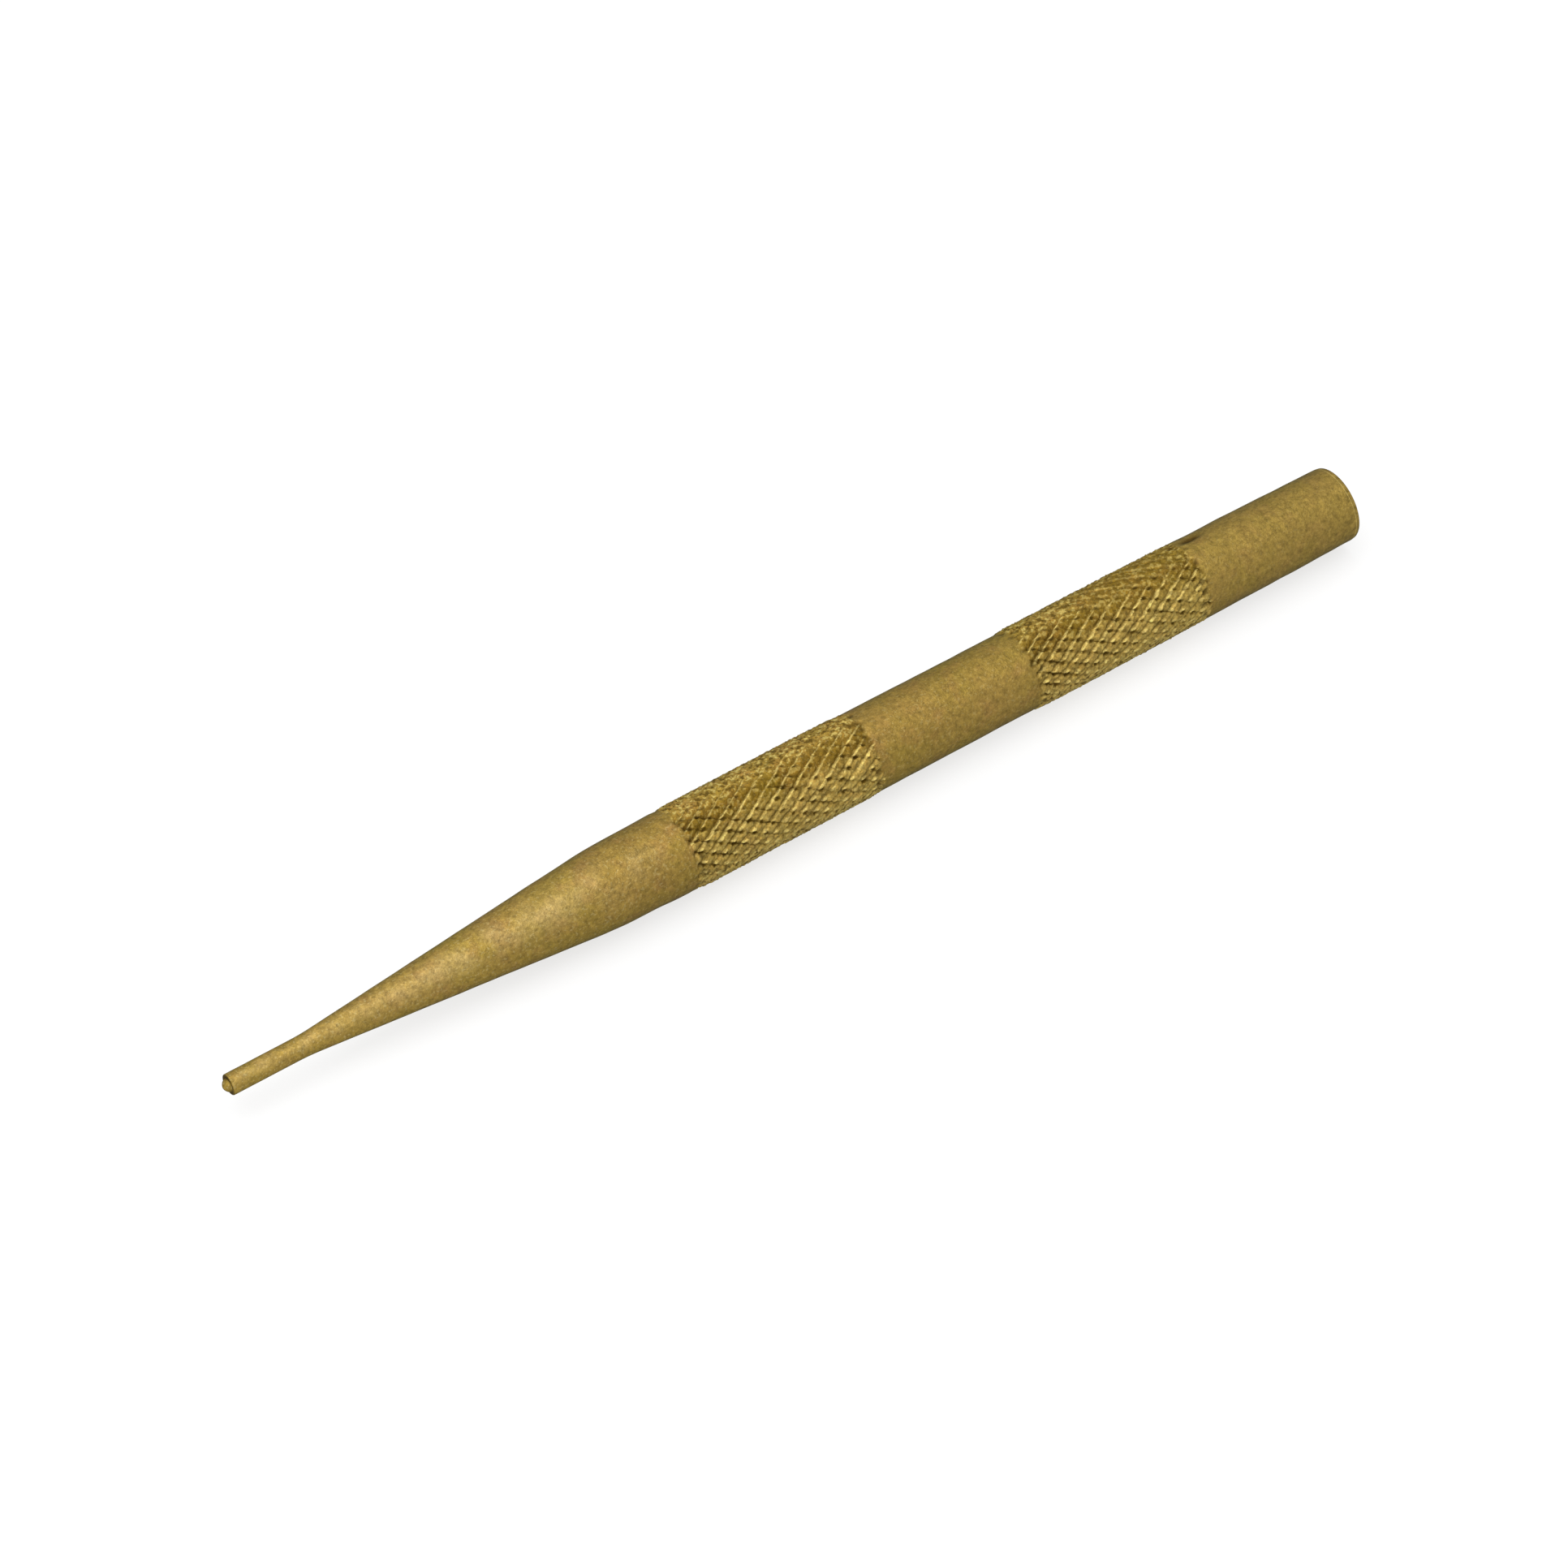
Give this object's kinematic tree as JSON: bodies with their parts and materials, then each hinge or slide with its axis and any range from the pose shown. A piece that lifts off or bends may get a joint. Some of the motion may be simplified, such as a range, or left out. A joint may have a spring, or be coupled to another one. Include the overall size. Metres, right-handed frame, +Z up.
{
  "type": "pilot punch",
  "caption": "Pilot punch for hollow spring pins: a cast bronze bar with diamond-knurled grips and a plain struck head, tapering to a slim pin with a domed pilot.",
  "frame": {"origin": "on the surface that the punch lies on, under the middle of its length", "axes": "+X along the axis towards the struck head, +Z up, +Y to the left when facing the head"},
  "size_m": [0.1524, 0.01, 0.01],
  "materials": {
    "bronze": "blasted casting, matt olive gold"
  },
  "bodies": {
    "root": {"punch_body": "bronze"}
  },
  "joints": []
}
